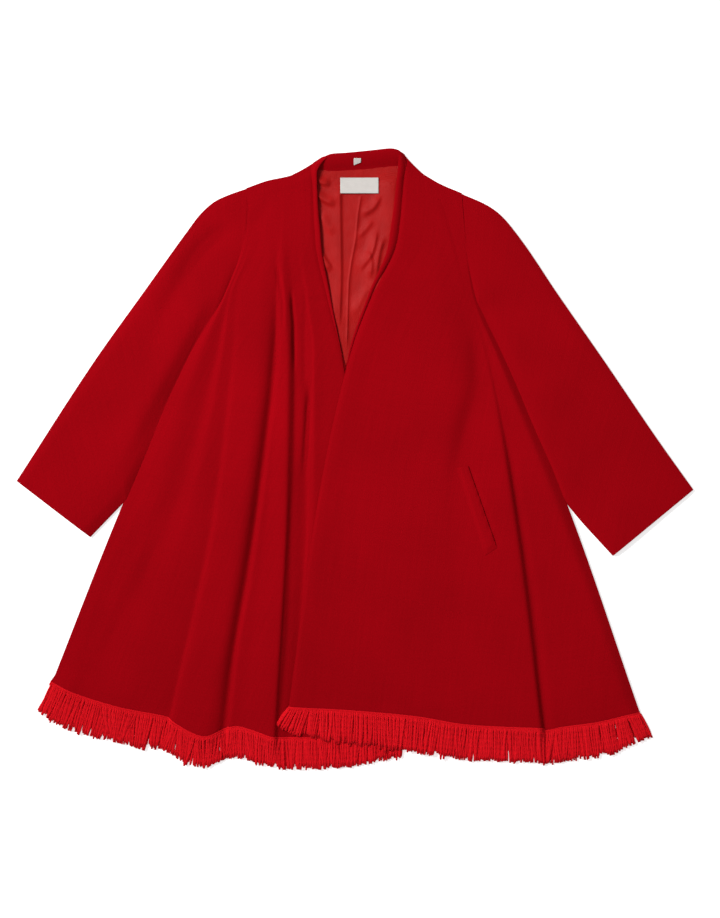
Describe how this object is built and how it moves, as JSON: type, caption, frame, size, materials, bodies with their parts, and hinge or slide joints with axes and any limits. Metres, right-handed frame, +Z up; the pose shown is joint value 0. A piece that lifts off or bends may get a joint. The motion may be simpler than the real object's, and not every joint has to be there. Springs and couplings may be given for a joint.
{
  "type": "cape coat",
  "caption": "Red wool cape coat laid flat: open fronts lapped left over right, narrow neck band, satin lining in the neck, slanted welt pocket, wide sleeves and a fringed hem.",
  "frame": {"origin": "middle of the laid coat's bounding box, on the surface that it lies on", "axes": "+Z up from the surface, +Y from hem to neck, +X towards the wearer's left sleeve"},
  "size_m": [1.084, 0.9919, 0.0157],
  "materials": {
    "wool": "fulled red wool with a short nap, matt",
    "satin": "orange-red lining satin with a soft sheen",
    "yarn": "bright red twisted wool yarn, fuzzy",
    "label_cloth": "off-white woven ribbon, blank"
  },
  "bodies": {
    "root": {"back": "wool", "front_right": "wool", "front_left": "wool", "sleeve_right_upper": "wool", "sleeve_right_under": "wool", "sleeve_left_upper": "wool", "sleeve_left_under": "wool", "collar_band": "wool", "pocket_welt_left": "wool", "lining_back": "satin", "label": "label_cloth", "size_tab": "label_cloth", "fringe_front_right": "yarn", "fringe_front_left": "yarn", "fringe_back": "yarn"}
  },
  "joints": []
}
